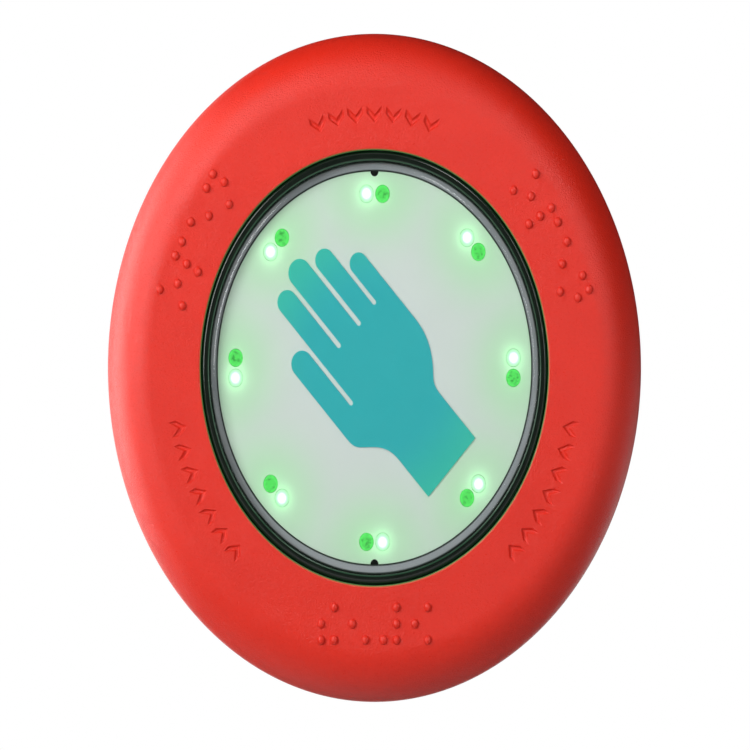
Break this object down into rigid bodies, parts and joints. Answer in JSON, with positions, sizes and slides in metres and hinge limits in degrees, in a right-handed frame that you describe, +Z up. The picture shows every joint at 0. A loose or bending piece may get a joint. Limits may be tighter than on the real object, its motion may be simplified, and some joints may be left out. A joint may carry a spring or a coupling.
{
  "type": "pedestrian push button",
  "caption": "Oval panel-mounted call button with an illuminated hand symbol, tactile marks on its ring and a cap that presses in on springs.",
  "frame": {"origin": "centre of the rear face of the panel gasket, which is the plane of the panel's front", "axes": "+Z up, -Y the way the button faces, +X to the right as seen from the front"},
  "size_m": [0.0822, 0.0613, 0.103],
  "materials": {
    "gasket_rubber": "matt EPDM sheet",
    "housing_red": "fine grained UV-stable moulding",
    "insert_brass": "machined, knurled",
    "pot_black": "fine grained moulding",
    "seal_rubber": "moulded seal rubber",
    "screw_steel": "zinc plated",
    "bush_plastic": "natural acetal",
    "spring_steel": "drawn spring wire",
    "board_laminate": "solder mask over glass laminate",
    "led_bright": "clear lamp",
    "led_dim": "tinted lamp",
    "chip_black": "moulded chip case",
    "terminal_green": "moulded polyamide",
    "switch_case": "glass filled moulding",
    "terminal_metal": "tinned brass",
    "lead_insulation": "PVC insulation",
    "gland_black": "polyamide",
    "frame_black": "polished black moulding",
    "carrier_plastic": "natural moulding",
    "plate_white": "translucent white diffuser",
    "pipe_bright": "clear moulding, lit",
    "pipe_dim": "clear moulding, lit",
    "window_clear": "polished clear polycarbonate",
    "border_ink": "screen printed ink",
    "hand_ink": "screen printed ink",
    "plunger_red": "moulded plunger"
  },
  "bodies": {
    "housing": {"panel_gasket": "gasket_rubber", "housing_ring": "housing_red", "threaded_inserts": "insert_brass", "rear_housing": "pot_black", "housing_oring": "seal_rubber", "wiper_seal": "seal_rubber", "bump_stops": "seal_rubber", "housing_screws": "screw_steel", "board_screws": "screw_steel", "switch_screws": "screw_steel", "guide_bushes": "bush_plastic", "return_springs": "spring_steel", "led_board": "board_laminate", "leds_bright": "led_bright", "leds_dim": "led_dim", "led_resistors": "chip_black", "led_driver": "chip_black", "terminal_block": "terminal_green", "terminal_screws": "screw_steel", "switch_body": "switch_case", "switch_terminals": "terminal_metal", "switch_leads": "lead_insulation", "gland_body": "gland_black", "gland_washer": "seal_rubber", "gland_locknut": "gland_black", "gland_seal": "seal_rubber", "gland_nut": "gland_black"},
    "press_cap": {"cap_frame": "frame_black", "cap_carrier": "carrier_plastic", "symbol_plate": "plate_white", "light_pipes_bright": "pipe_bright", "light_pipes_dim": "pipe_dim", "lens_window": "window_clear", "lens_border": "border_ink", "hand_symbol": "hand_ink"},
    "switch_plunger": {"switch_plunger": "plunger_red"}
  },
  "joints": [
    {"name": "cap_press", "type": "slide", "parent": "housing", "child": "press_cap", "axis": [0, 1, 0], "range_m": [0, 0.0015], "stiffness_N_per_m": 2000, "springref_m": -0.0025, "deforming": ["return_springs"]},
    {"name": "switch_plunger_travel", "type": "slide", "parent": "housing", "child": "switch_plunger", "axis": [0, 1, 0], "range_m": [0, 0.0015]}
  ],
  "couplings": [
    {"joint": "switch_plunger_travel", "follows": "cap_press", "ratio": 1}
  ]
}
